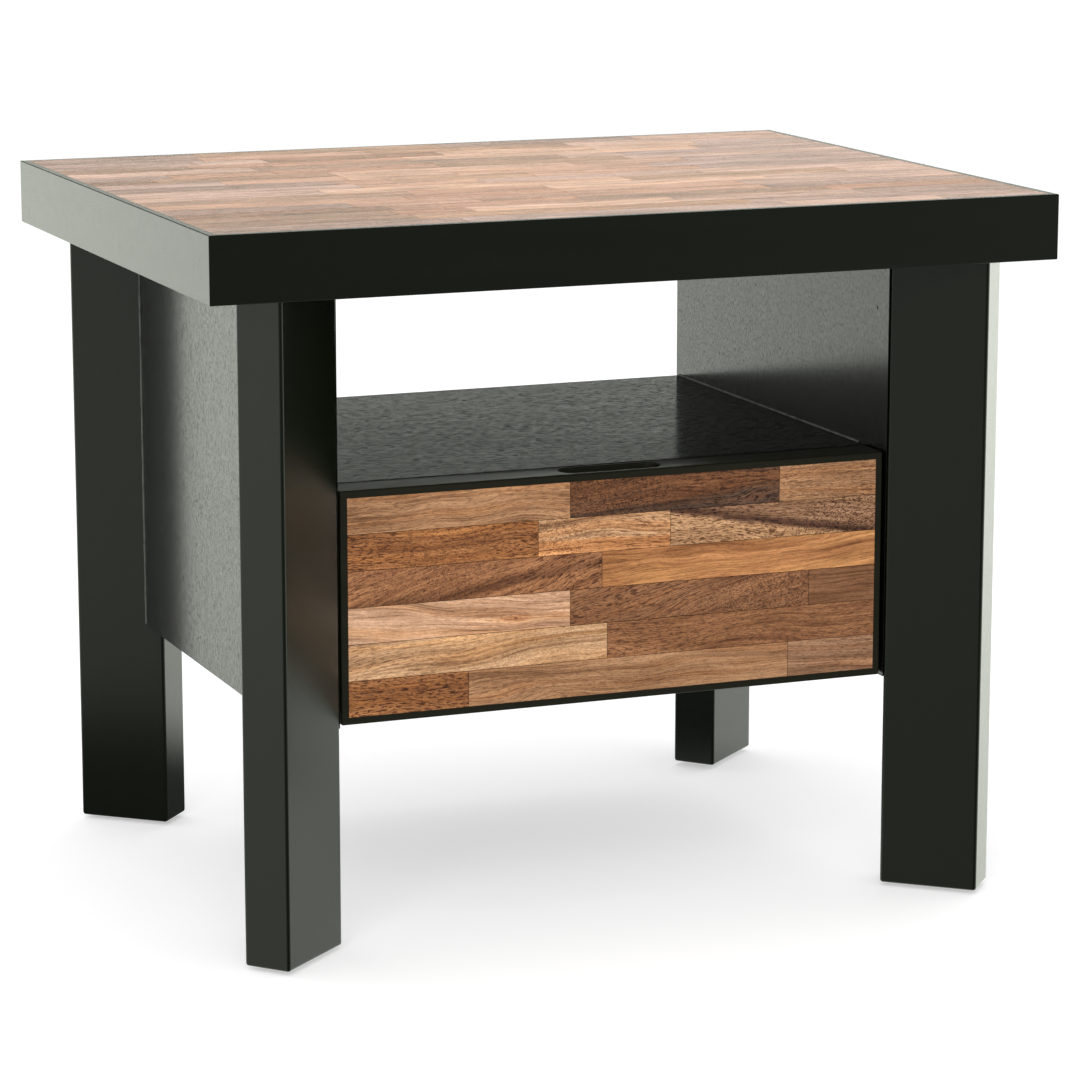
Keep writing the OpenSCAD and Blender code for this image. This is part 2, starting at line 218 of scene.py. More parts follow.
# And by height, as the sine of the direction's rise
STUDIO_RISE = [(-1, 0.6), (-0.30, 0.75), (-0.25, 0.88), (-0.21, 1.0), (-0.16, 1.12), (-0.13, 1.14),
               (-0.05, 1.08), (0, 1.0), (0.07, 0.78), (0.105, 0.78), (0.139, 0.38), (0.18, 0.05),
               (0.22, 0.11), (0.35, 0.1), (1, 0.3)]
# Levels that are above the brightest point of each row, which the ramps are scaled by
BRIGHTEST, HIGHEST = 2.5, 1.2
GLOSS_TINT = (0.955, 1.0, 0.90, 1)
AMBIENT = 0.68


def set_up_world():
    """A white studio. Gloss shows its bright side, its dim side and the glow low over the floor."""
    world = bpy.data.worlds.new("studio")
    scene.world = world
    world.use_nodes = True
    world.cycles.sampling_method = "NONE"
    net = Net(world.node_tree)
    net.tree.nodes.clear()
    path = net.add("ShaderNodeLightPath").outputs
    x, y, height = net.split(net.add("ShaderNodeTexCoord").outputs["Generated"])
    compass = net.over(net.math("ARCTAN2", x, y), 2 * math.pi)
    by_side = net.ramp(net.plus(compass, 0.5),
                       [(angle / 360 + 0.5, level / BRIGHTEST) for angle, level in STUDIO])
    rise = net.times(net.plus(height, 1.0), 0.5)
    by_height = net.ramp(rise, [(h / 2 + 0.5, level / HIGHEST) for h, level in STUDIO_RISE])
    level = net.tinted(by_side, by_height)
    gloss = net.add("ShaderNodeBackground", (net.tinted(level, GLOSS_TINT), BRIGHTEST * HIGHEST))
    ambient = net.add("ShaderNodeBackground", ((1, 1, 1, 1), AMBIENT))
    white = net.add("ShaderNodeBackground", ((1, 1, 1, 1), 1.0))
    mirrored = net.math("MAXIMUM", path["Is Glossy Ray"], path["Is Transmission Ray"])
    light = net.add("ShaderNodeMixShader", (mirrored, ambient.outputs[0], gloss.outputs[0]))
    last = net.add("ShaderNodeMixShader", (path["Is Camera Ray"], light.outputs[0], white.outputs[0]))
    net.add("ShaderNodeOutputWorld", (last.outputs[0],))


def softbox(name, place, aim, size, power):
    lamp = bpy.data.lights.new(name, "AREA")
    lamp.shape = "RECTANGLE"
    lamp.size, lamp.size_y = size
    lamp.energy = power
    holder = placed(name, lamp)
    holder.location = place
    holder.rotation_euler = (Vector(aim) - Vector(place)).to_track_quat("-Z", "Y").to_euler()


FLOOR_REACH = 14
FLOOR_WHITE = (0.82, 0.82, 0.82, 1)
# How much the floor glows for the camera, so that it meets the white behind it
FLOOR_LIFT = 0.46
# In gloss, a painted shadow under the table: its middle, how it narrows from front to back, where it fades
# and its light
PAINTED_SHADOW_MIDDLE, PAINTED_SHADOW_SHAPE, PAINTED_SHADOW_FADE = (-0.22, 0.12, 0), (2, 4, 0), (0.6, 1.3)
PAINTED_SHADOW_TINT, PAINTED_SHADOW_LEVEL = (0.96, 1, 0.9, 1), 0.12


def lay_floor():
    """A white sweep that keeps a soft shadow. In gloss it shows a painted shadow, a dim glow under the
    table that stands in for the table's shadow there, and the studio past that."""
    material = bpy.data.materials.new("white_sweep")
    material.use_nodes = True
    material.cycles.emission_sampling = "NONE"
    net = Net(material.node_tree)
    net.tree.nodes.clear()
    path = net.add("ShaderNodeLightPath").outputs
    matt = net.add("ShaderNodeBsdfDiffuse", (FLOOR_WHITE,))
    lift = net.add("ShaderNodeEmission", ((1, 1, 1, 1), net.times(path["Is Camera Ray"], FLOOR_LIFT)))
    paper = net.add("ShaderNodeAddShader", (matt.outputs[0], lift.outputs[0]))
    place = net.add("ShaderNodeTexCoord").outputs["Object"]
    under = net.vector("MULTIPLY", net.vector("SUBTRACT", place, PAINTED_SHADOW_MIDDLE), PAINTED_SHADOW_SHAPE)
    away = net.add("ShaderNodeVectorMath", (under,), operation="LENGTH").outputs["Value"]
    # Painted shadow: glossy rays see this dim glow near the table, in place of the table's shadow on the
    # floor
    dark = net.add("ShaderNodeEmission", (PAINTED_SHADOW_TINT, PAINTED_SHADOW_LEVEL))
    clear = net.add("ShaderNodeBsdfTransparent")
    fade = net.between(away, *PAINTED_SHADOW_FADE)
    seen = net.add("ShaderNodeMixShader", (fade, dark.outputs[0], clear.outputs[0]))
    mixed = net.add("ShaderNodeMixShader", (path["Is Glossy Ray"], paper.outputs[0], seen.outputs[0]))
    net.add("ShaderNodeOutputMaterial", (mixed.outputs[0],))
    mesh = bpy.data.meshes.new("floor")
    corners = ((-1, -1), (1, -1), (1, 1), (-1, 1))
    mesh.from_pydata([(x * FLOOR_REACH, y * FLOOR_REACH, 0) for x, y in corners], [], [(0, 1, 2, 3)])
    mesh.materials.append(material)
    placed("floor", mesh)


# ---------------------------------------------------------------- finishes


# How much darker each mark is than the wood round it
PORE_TINT, STREAK_TINT, RING_TINT = (0.27, 0.19, 0.135, 1), (0.30, 0.24, 0.24, 1), (0.86, 0.66, 0.50, 1)
HALO_TINT, KNOT_TINT = (0.82, 0.58, 0.42, 1), (0.30, 0.20, 0.16, 1)
JOINT_COLOUR = (0.020, 0.012, 0.007, 1)


def build_stave_wood():
    """Lacquered stave: its tones, growth bands, fibres, pores, curl, a dark streak, a knot and dark
    joints. X runs along the stave, Y across it. Reach is half its length and width, and its grain's
    slope. The noises' factors are in waves per millimetre, along the grain, across it and into it."""
    net = Net.group("stave_wood",
                    [("Place", VECTOR, None), ("Tone", COLOUR, None), ("Second tone", COLOUR, None),
                     ("Start", VECTOR, None), ("Reach", VECTOR, (0.1, 0.014, 0)),
                     ("Figure", VECTOR, (0.5, 0.2, 0)), ("Split", VECTOR, None), ("Streak", VECTOR, None),
                     ("Knot", VECTOR, None), ("Rim", FLOAT, 0.0), ("Contrast", FLOAT, 1.0)],
                    [("Colour", COLOUR), ("Roughness", FLOAT), ("Height", FLOAT)])
    given = net.inputs
    half = net.split(given["Reach"])
    x, y, z = net.split(net.millimetres())
    # Shares of the half length and half width
    u = net.over(net.over(x, MM), half[0])
    v = net.over(net.over(y, MM), half[1])

    # Fibres run round the knot
    knot_u, knot_v, knot_size = net.split(given["Knot"])
    knot_x = net.minus(x, net.times(knot_u, net.times(half[0], MM)))
    knot_y = net.minus(y, net.times(knot_v, net.times(half[1], MM)))
    size = net.math("MAXIMUM", knot_size, 0.01)

    def blob(along, across):
        a = net.math("POWER", net.over(net.math("ABSOLUTE", knot_x), net.times(size, along)), 2.0)
        b = net.math("POWER", net.over(net.math("ABSOLUTE", knot_y), net.times(size, across)), 2.0)
        return net.math("EXPONENT", net.times(net.plus(a, b), -1.0))

    push = net.times(net.times(knot_y, blob(9.0, 3.5)), -0.8)
    pushed = net.join(x, net.plus(y, push), z)
    turned = net.add("ShaderNodeVectorRotate", {"Vector": pushed, "Angle": net.times(half[2], -1.0)},
                     rotation_type="Z_AXIS").outputs[0]
    grain = net.vector("ADD", turned, given["Start"])
    gx, gy, gz = net.split(grain)
    drift = net.noise(grain, (0.010, 0.03, 0.03), 1.0)
    sawn = net.join(gx, net.plus(gy, net.swing(drift, 22.0)), gz)

    # Its figure, and the rings round the knot
    pores_given, curl_given, curl_at = net.split(given["Figure"])
    bands = net.noise(sawn, (0.0055, 0.19, 0.2), 3.0, 0.65)
    lines = net.noise(sawn, (0.016, 0.8, 0.8), 2.0, 0.6)
    fibres = net.noise(sawn, (0.07, 2.1, 2.1), 2.0, 0.6)
    cloud = net.noise(grain, (0.012, 0.05, 0.05), 2.0)
    tint = net.between(net.noise(sawn, (0.006, 0.13, 0.1), 2.0), 0.45, 0.66)
    zone = net.minus(u, curl_at)
    zone = net.plus(net.math("ABSOLUTE", zone), net.swing(net.noise(grain, (0.03, 0.06, 0.06), 2.0), 0.9))
    zone = net.times(net.between(zone, 0.25, 0.85, 1.0, 0.0), curl_given, True)
    dashes = net.between(net.noise(sawn, (0.15, 0.95, 1.0), 1.5, 0.6, 0.25), 0.54, 0.60)
    specks = net.between(net.noise(sawn, (0.33, 1.8, 1.9), 1.0, 0.5, 0.2), 0.54, 0.63, 0.0, 0.75)
    dashes = net.math("MAXIMUM", dashes, specks)
    maze = net.between(net.noise(grain, (0.38, 0.78, 0.6), 1.5, 0.55, 1.5), 0.48, 0.57)
    marks = net.mix(zone, dashes, maze)
    marks = net.times(marks, pores_given, True)
    rings = net.add("ShaderNodeVectorMath", (net.join(net.over(knot_x, 7.0), knot_y, 0.0),),
                    operation="LENGTH").outputs["Value"]
    rings = net.plus(rings, net.swing(net.noise(grain, (0.02, 0.1, 0.1), 2.0), 4.0))
    rings = net.between(net.math("SINE", net.times(rings, 1.5)), 0.1, 0.9)
    rings = net.times(rings, net.times(blob(22.0, 5.0), 0.5), True)

    # The second tone, on one side of a wavering edge
    split_given, split_at, split_slope = net.split(given["Split"])
    edge = net.sum(v, net.times(split_at, -1.0), net.times(net.times(u, split_slope), -1.0),
                   net.swing(net.noise(grain, (0.03, 0.05, 0.05), 3.0), 0.35))
    second = net.times(net.between(edge, -0.16, 0.1, 1.0, 0.0), split_given)
    second = net.plus(second, net.times(tint, 0.55), True)
    wood = net.mix(second, given["Tone"], given["Second tone"])

    # Light and dark of the grain, then the pores in it
    swing = net.sum(net.swing(bands, 1.0), net.swing(lines, 0.85), net.swing(fibres, 0.6),
                    net.swing(cloud, 0.6))
    calm = net.minus(1.3, net.times(pores_given, 0.3))
    level = net.plus(1.13, net.times(net.times(swing, calm), given["Contrast"]))
    level = net.math("MAXIMUM", level, 0.3)
    shade = net.join(level, net.math("POWER", level, 1.2), net.math("POWER", level, 1.4))
    wood = net.tinted(wood, shade)
    wood = net.mix(marks, wood, net.tinted(wood, PORE_TINT))

    # The streak, the knot and the joint, each over the wood so far
    streak_given, streak_from, streak_to = net.split(given["Streak"])
    middle = net.times(net.plus(streak_from, streak_to), 0.5)
    lean = net.times(net.minus(streak_to, streak_from), 0.5)
    off = net.sum(v, net.times(middle, -1.0), net.times(net.times(lean, u), -1.0),
                  net.swing(net.noise(grain, (0.016, 0.02, 0.02), 1.0), 0.5))
    streak = net.times(net.between(off, -0.22, 0.05), net.between(off, 0.1, 0.75, 1.0, 0.0))
    streak = net.times(streak, streak_given, True)
    wood = net.mix(streak, wood, net.tinted(wood, STREAK_TINT))
    has_knot = net.math("GREATER_THAN", knot_size, 0.05)
    rings = net.times(rings, has_knot)
    wood = net.mix(rings, wood, net.tinted(wood, RING_TINT))
    dot = net.times(blob(0.8, 0.55), has_knot, True)
    halo = net.times(net.times(blob(5.0, 1.8), has_knot), 0.35, True)
    wood = net.mix(halo, wood, net.tinted(wood, HALO_TINT))
    wood = net.mix(dot, wood, net.tinted(wood, KNOT_TINT))
    wood = net.mix(net.times(given["Rim"], 0.85, True), wood, JOINT_COLOUR)
    net.put(net.outputs["Colour"], wood)
    net.put(net.outputs["Roughness"], net.plus(0.27, net.times(marks, 0.12)))
    net.put(net.outputs["Height"], net.minus(net.times(fibres, 0.3), marks))
    return net.tree


LACQUER_DARK, LACQUER_PALE = (0.0014, 0.0020, 0.0009, 1), (0.0030, 0.0040, 0.0020, 1)
PORE_BLACK = (0.0009, 0.0010, 0.0006, 1)


def build_open_pores():
    """Black lacquer over open-pored wood, with its grain along X. Depth 0 is filled smooth. Film is
    where it covers. Factors are in waves per millimetre."""
    net = Net.group("open_pores",
                    [("Place", VECTOR, None), ("Depth", FLOAT, 1.0), ("Roughness", FLOAT, 0.3),
                     ("Cover", FLOAT, 0.86), ("Unevenness", FLOAT, 1.0), ("Pore loss", FLOAT, 0.5),
                     ("Pore length", FLOAT, 1.0), ("Pore width", FLOAT, 1.0),
                     ("Stain", COLOUR, (1, 1, 1, 1))],
                    [("Colour", COLOUR), ("Roughness", FLOAT), ("Height", FLOAT), ("Film", FLOAT)])
    mm = net.millimetres()
    depth = net.inputs["Depth"]
    x, y, z = net.split(mm)
    x = net.over(x, net.inputs["Pore length"])
    y = net.over(y, net.inputs["Pore width"])
    drift = net.noise(mm, (0.004, 0.014, 0.014), 1.0)
    sawn = net.join(x, net.plus(y, net.swing(drift, 8.0)), z)
    vessels = net.between(net.noise(sawn, (0.10, 1.8, 1.8), 1.5, 0.6, 0.15), 0.54, 0.63)
    short = net.between(net.noise(sawn, (0.24, 2.5, 2.5), 1.0, 0.5, 0.1), 0.55, 0.66, 0.0, 0.7)
    fine = net.noise(sawn, (0.02, 0.75, 0.75), 3.0, 0.6)
    broad = net.noise(sawn, (0.006, 0.07, 0.07), 3.0, 0.55)
    peel = net.noise(mm, (0.11, 0.11, 0.11), 2.0)
    # Mask is where a pore is open
    mask = net.times(net.math("MAXIMUM", vessels, short), depth, True)
    tone = net.mix(mask, net.mix(broad, LACQUER_DARK, LACQUER_PALE), PORE_BLACK)
    net.put(net.outputs["Colour"], net.tinted(tone, net.inputs["Stain"]))
    net.put(net.outputs["Roughness"],
            net.sum(net.inputs["Roughness"], net.times(mask, 0.22),
                    net.times(net.swing(broad, 0.12), depth), net.swing(peel, 0.05)))
    orange_peel = net.times(peel, net.between(depth, 0.0, 1.0, 0.12, 0.015))
    net.put(net.outputs["Height"], net.minus(orange_peel, mask))
    gaps = net.times(net.sum(net.swing(fine, 0.3), net.swing(broad, 0.35)), net.inputs["Unevenness"])
    film = net.minus(net.plus(1.0, gaps), net.times(mask, net.inputs["Pore loss"]))
    net.put(net.outputs["Film"], net.times(film, net.inputs["Cover"], True))
    return net.tree


def build_handling_marks():
    """Dust and rubbing on metal, plastic and filler."""
    net = Net.group("handling_marks", [("Place", VECTOR, None), ("Amount", FLOAT, 0.5)],
                    [("Mask", FLOAT), ("Height", FLOAT)])
    mm = net.millimetres()
    blotch = net.between(net.noise(mm, (0.22, 0.22, 0.22), 4.0, 0.6), 0.42, 0.68)
    grit = net.noise(mm, (2.2, 2.2, 2.2), 2.0)
    net.put(net.outputs["Mask"], net.times(blotch, net.inputs["Amount"], True))
    net.put(net.outputs["Height"], net.plus(grit, blotch))
    return net.tree


STAVE_WOOD = build_stave_wood()
OPEN_PORES = build_open_pores()
HANDLING_MARKS = build_handling_marks()

ALONG_X = (0, 0, 0)
ALONG_Y = (0, 0, math.radians(-90))
ALONG_Z = (0, math.radians(90), 0)
UPRIGHT_FACE = (math.radians(-90), 0, 0)


def start_material(name):
    material = bpy.data.materials.new(name)
    material.use_nodes = True
    return material, Net(material.node_tree), material.node_tree.nodes["Principled BSDF"].inputs


def turned_place(net, turn):
    """Object coordinates turned so that X runs along the grain."""
    place = net.add("ShaderNodeTexCoord").outputs["Object"]
    return net.add("ShaderNodeMapping", {"Vector": place, "Rotation": turn}).outputs["Vector"]


def emboss(net, shader, height, relief):
    feeds = {"Strength": 1.0, "Distance": relief, "Height": height}
    net.put(shader["Normal"], net.add("ShaderNodeBump", feeds).outputs["Normal"])


def dress(net, shader, finish, relief):
    """Feeds a finish's colour, roughness and relief to the shader."""
    net.put(shader["Base Color"], finish["Colour"])
    net.put(shader["Roughness"], finish["Roughness"])
    emboss(net, shader, finish["Height"], relief)


def grouped(net, group, feeds):
    node = net.add("ShaderNodeGroup", node_tree=group)
    for title, value in feeds.items():
        net.put(node.inputs[title], value)
    return node.outputs


def stave_material(name, turn, contrast):
    """Each stave brings its own tones, figure and place in the plank that it was sawn from."""
    material, net, shader = start_material(name)

    def own(title, output="Vector"):
        name = title.lower().replace(" ", "_")
        return net.add("ShaderNodeAttribute", attribute_name=name).outputs[output]

    feeds = {"Place": net.vector("SUBTRACT", turned_place(net, turn), own("middle"))}
    feeds |= {title: own(title, "Color") for title in ("Tone", "Second tone")}
    feeds |= {title: own(title) for title in ("Start", "Reach", "Figure", "Split", "Streak", "Knot")}
    feeds |= {"Rim": own("rim", "Fac"), "Contrast": contrast}
    dress(net, shader, grouped(net, STAVE_WOOD, feeds), GRAIN_RELIEF)
    return material


def plain_wood(name, turn, tone, second, figure, contrast=0.7):
    """Pale wood inside the case: the drawer's box, the runners and the dowels."""
    material, net, shader = start_material(name)
    feeds = {"Place": turned_place(net, turn), "Tone": tone, "Second tone": second, "Figure": figure,
             "Contrast": contrast}
    dress(net, shader, grouped(net, STAVE_WOOD, feeds), GRAIN_RELIEF)
    return material


def marked_material(name, colour, worn, metal, roughness, marks=0.5):
    material, net, shader = start_material(name)
    wear = grouped(net, HANDLING_MARKS, {"Place": turned_place(net, ALONG_X), "Amount": marks})
    net.put(shader["Base Color"], net.mix(wear["Mask"], colour, worn))
    net.put(shader["Roughness"], net.between(wear["Mask"], 0.0, 1.0, roughness, roughness + 0.25))
    shader["Metallic"].default_value = metal
    emboss(net, shader, wear["Height"], WEAR_RELIEF)
    return material


def black_lacquer(name, turn, depth, roughness, relief, stain, shine=0.5):
    """Stain brings out how much of the wood's own colour comes through."""
    material, net, shader = start_material(name)
    feeds = {"Place": turned_place(net, turn), "Depth": depth, "Roughness": roughness, "Stain": stain}
    dress(net, shader, grouped(net, OPEN_PORES, feeds), relief)
    shader["Specular IOR Level"].default_value = shine
    return material


def open_pore_lacquer(name, turn, gloss, cover, unevenness, loss, length=1.0, width=1.0):
    """Stained wood under a thin film of lacquer that leaves its pores open."""
    material, net, shader = start_material(name)
    finish = grouped(net, OPEN_PORES, {"Place": turned_place(net, turn), "Depth": 1.0, "Roughness": 0.6,
                                        "Cover": cover, "Unevenness": unevenness, "Pore loss": loss,
                                        "Pore length": length, "Pore width": width})
    dress(net, shader, finish, OPEN_RELIEF)
    shader["Specular IOR Level"].default_value = 0.05
    net.put(shader["Coat Weight"], finish["Film"])
    shader["Coat Roughness"].default_value = gloss
    return material


SLAB_LACQUER = (0.12, 0.24, GRAIN_RELIEF, (1.6, 1.9, 1, 1))
LACQUER = {
    "slab_x": black_lacquer("black_lacquer_slab_front", ALONG_X, *SLAB_LACQUER),
    "slab_y": black_lacquer("black_lacquer_slab_side", ALONG_Y, *SLAB_LACQUER),
    "leg": black_lacquer("black_lacquer_leg", ALONG_Z, 0.15, 0.2, LEG_RELIEF, (0.9, 1.6, 0.3, 1)),
    "panel": open_pore_lacquer("black_open_pore_panel", ALONG_Z, 0.18, 0.95, 0.35, 0.56, 0.36),
    "board": open_pore_lacquer("black_open_pore_board", ALONG_X, 0.14, 0.84, 1.2, 1.15, 1.1, 1.5),
    "back": open_pore_lacquer("black_open_pore_back", ALONG_X, 0.16, 0.88, 0.7, 0.41),
    "front": black_lacquer("black_lacquer_drawer_front", ALONG_X, 0.15, 0.42, GRAIN_RELIEF,
                           (7.2, 5.2, 6, 1), shine=0.2),
}
TOP_STAVES = stave_material("lacquered_staves_slab", ALONG_X, 1.9)
FRONT_STAVES = stave_material("lacquered_staves_drawer", UPRIGHT_FACE, 1.65)
MAPLE = (rgb(214, 184, 142), rgb(204, 168, 124))
BOX_WOOD = plain_wood("lacquered_maple", ALONG_Y, *MAPLE, (0.2, 0.2, 0))
BOX_WOOD_X = plain_wood("lacquered_maple_across", ALONG_X, *MAPLE, (0.2, 0.2, 0))
PLY = plain_wood("birch_plywood", ALONG_X, rgb(220, 194, 156), rgb(210, 178, 136), (0.15, 0.5, 0), 0.5)
BEECH = plain_wood("bare_beech", ALONG_Z, rgb(214, 176, 132), rgb(202, 160, 116), (0.5, 0, 0), 0.5)
ZINC = marked_material("zinc_plated_steel", rgb(176, 178, 176), rgb(122, 120, 112), 1.0, 0.3)
GLIDE = marked_material("black_coated_steel", rgb(20, 20, 19), rgb(52, 50, 46), 0.0, 0.42)
# The filler's grey is partly its own colour and partly a painted highlight, standing in for the bright line
# each bead reflects; its marks are dust
PAINTED_HIGHLIGHT_FILLER = marked_material("filler_grey_painted_highlight", rgb(92, 95, 87), rgb(64, 66, 60), 0.0, 0.28, 0.8)
NAIL_HOLE = marked_material("dark_stopping", rgb(14, 14, 12), rgb(24, 23, 20), 0.0, 0.6)


# ---------------------------------------------------------------- building


def placed(name, data):
    """A new object in the scene, at the origin."""
    obj = bpy.data.objects.new(name, data)
    scene.collection.objects.link(obj)
    return obj


def plain_mesh(bm, name):
    mesh = bpy.data.meshes.new(name)
    bm.to_mesh(mesh)
    bm.free()
    return mesh


def smooth(mesh):
    mesh.polygons.foreach_set("use_smooth", np.ones(len(mesh.polygons), bool))


def box_mesh(low, high):
    bm = bmesh.new()
    bmesh.ops.create_cube(bm, size=1)
    size = Vector(high) - Vector(low)
    middle = (Vector(high) + Vector(low)) / 2
    for v in bm.verts:
        v.co = Vector(a * b for a, b in zip(v.co, size)) + middle
    return bm


def finished_mesh(obj):
    """The object's mesh with its modifiers carried out. The object itself goes."""
    made = bpy.data.meshes.new_from_object(obj.evaluated_get(bpy.context.evaluated_depsgraph_get()))
    raw = obj.data
    bpy.data.objects.remove(obj)
    bpy.data.meshes.remove(raw)
    return made


def eased(bm, name, width, weigh, segments=3):
    """The mesh with its arrises rounded: weigh(edge) gives each edge's share of the full width."""
    bmesh.ops.recalc_face_normals(bm, faces=bm.faces)
    layer = bm.edges.layers.float.new("bevel_weight_edge")
    for edge in bm.edges:
        if len(edge.link_faces) == 2 and edge.calc_face_angle(0) > 0.5:
            edge[layer] = weigh(edge)
            edge.smooth = edge[layer] > 0
    mesh = plain_mesh(bm, name)
    smooth(mesh)
    raw = placed(name + "_raw", mesh)
    rounding = raw.modifiers.new("rounding", "BEVEL")
    rounding.limit_method = "WEIGHT"
    rounding.width = width
    rounding.segments = segments
    rounding.harden_normals = True
    return finished_mesh(raw)


def piece(name, mesh, material, body, slot, *stands_for):
    """Puts a finished mesh in the scene with its material, its body and its CAD nodes."""
    mesh.name = name
    mesh.materials.clear()
    mesh.materials.append(material)
    obj = placed(name, mesh)
    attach(obj, body)
    if stands_for:
        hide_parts(*stands_for)
    return obj


def band(bm, ring, next_ring):
    """Closes the gap between two rings of points with quads."""
    for i in range(len(ring)):
        j = (i + 1) % len(ring)
        bm.faces.new((ring[i], ring[j], next_ring[j], next_ring[i]))


def prism(outline, low, high):
    """A straight-sided solid on an outline seen from above."""
    bm = bmesh.new()
    under = [bm.verts.new((x, y, low)) for x, y in outline]
    over = [bm.verts.new((x, y, high)) for x, y in outline]
    bm.faces.new(list(reversed(under)))
    bm.faces.new(over)
    band(bm, under, over)
    return bm


def from_leg(corner, along, across):
    """A point given from the leg's inner corner, along and across its long side."""
    x = CASE_X + along * math.cos(LEG_ANGLE) + across * math.sin(LEG_ANGLE)
    y = CASE_Y + along * math.sin(LEG_ANGLE) - across * math.cos(LEG_ANGLE)
    return corner[0] * x, corner[1] * y


def make_legs():
    low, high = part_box("leg_front_left")[0].z, SLAB_UNDER

    def weigh(edge):
        return 0.0 if min(v.co.z for v in edge.verts) > high - SAME else 1.0

    for name, corner in CORNERS.items():
        outline = [from_leg(corner, a, b) for a, b in
                   ((0, 0), (LEG_WIDTH, 0), (LEG_WIDTH, LEG_THICKNESS), (0, LEG_THICKNESS))]
        mesh = eased(prism(outline, low, high), "leg_" + name, LEG_EASE, weigh, 4)
        piece("dressed_leg_" + name, mesh, LACQUER["leg"], "table", "black_wood", "leg_" + name)


def past_leg(reach):
    """How far along its long side a leg's outer face runs before it is reach away from the middle."""
    return (reach - CASE_X - LEG_THICKNESS * math.sin(LEG_ANGLE)) / math.cos(LEG_ANGLE)


def make_side_panels():
    for side, name in ((-1, "side_panel_left"), (1, "side_panel_right")):
        low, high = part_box(name)
        reach = high.x if side > 0 else -low.x
        start = (CASE_Y - high.y) / math.cos(LEG_ANGLE)
        back_leg = (side, 1)
        half = [(side * CASE_X, high.y), from_leg(back_leg, 0, start), from_leg(back_leg, 0, LEG_THICKNESS),
                from_leg(back_leg, past_leg(reach), LEG_THICKNESS)]
        outline = half + [(x, -y) for x, y in reversed(half)]

        def weigh(edge):
            return 1.0 if max(v.co.z for v in edge.verts) < low.z + SAME else 0.0

        mesh = eased(prism(outline, low.z, high.z), name, PANEL_EASE, weigh)
        piece("dressed_" + name, mesh, LACQUER["panel"], "table", "black_wood", name)


def make_shelf():
    low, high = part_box("shelf")

    def weigh(edge):
        a, b = edge.verts
        if abs(a.co.x - b.co.x) < SAME:
            return 0.0
        return 1.0 if a.co.y > 0 else 0.5

    mesh = eased(box_mesh(low, high), "shelf", SHELF_EASE, weigh)
    piece("dressed_shelf", mesh, LACQUER["board"], "table", "black_wood", "shelf")


def make_lippings():
    for side, angle in {"front": 180, "back": 0, "left": 90, "right": -90}.items():
        low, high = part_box("top_lipping_" + side)
        across = side in ("front", "back")
        half = (high.x - low.x if across else high.y - low.y) / 2
        far = {"back": high.y, "front": -low.y, "right": high.x, "left": -low.x}[side]
        near = far - LIPPING
        outline = [(-half, far), (-half + LIPPING, near), (half - LIPPING, near), (half, far)]

        def weigh(edge):
            a, b = edge.verts
            outer = min(a.co.y, b.co.y) > far - SAME
            return 1.0 if outer and abs(a.co.z - b.co.z) < SAME else 0.0

        name = "top_lipping_" + side
        mesh = eased(prism(outline, low.z, high.z), name, LIPPING_EASE, weigh)
        mesh.transform(Matrix.Rotation(math.radians(angle), 4, "Z"))
        lacquer = LACQUER["slab_x" if across else "slab_y"]
        piece("dressed_" + name, mesh, lacquer, "table", "black_wood", name)


def solids_of(node):
    """The boxes of a CAD node's separate solids."""
    mesh = nodes[node].data
    co = np.empty(len(mesh.vertices) * 3)
    mesh.vertices.foreach_get("co", co)
    keys, inverse = np.unique(co.reshape(-1, 3).round(6), axis=0, return_inverse=True)
    inverse = inverse.ravel()
    parent = list(range(len(keys)))

    def find(a):
        while parent[a] != a:
            parent[a] = parent[parent[a]]
            a = parent[a]
        return a

    for polygon in mesh.polygons:
        first, *rest = (find(inverse[v]) for v in polygon.vertices)
        for other in rest:
            parent[find(other)] = find(first)
    solids = {}
    for i, key in enumerate(keys):
        solids.setdefault(find(i), []).append(key)
    return [(np.min(v, axis=0), np.max(v, axis=0)) for v in solids.values()]


def finished_tree(net, shape):
    """Ends a geometry tree with real geometry in its material."""
    real = net.add("GeometryNodeRealizeInstances", {"Geometry": shape.outputs[0]})
    feeds = {"Geometry": real.outputs[0], "Material": net.inputs["Material"]}
    net.put(net.outputs[0], net.add("GeometryNodeSetMaterial", feeds).outputs[0])
    return net.tree


def joined(net, *shapes):
    both = net.add("GeometryNodeJoinGeometry")
    for shape in shapes:
        net.put(both.inputs[0], shape)
    return both.outputs[0]


def grow(tree, mesh, **values):
    """Runs a geometry tree on a mesh and gives back the finished mesh."""
    obj = placed(tree.name, mesh)
    growing = obj.modifiers.new("growing", "NODES")
    growing.node_group = tree
    sockets = {item.name: item.identifier for item in tree.interface.items_tree if item.in_out == "INPUT"}
    for title, value in values.items():
        growing[sockets[title]] = value
    return finished_mesh(obj)


# ---------------------------------------------------------------- staves

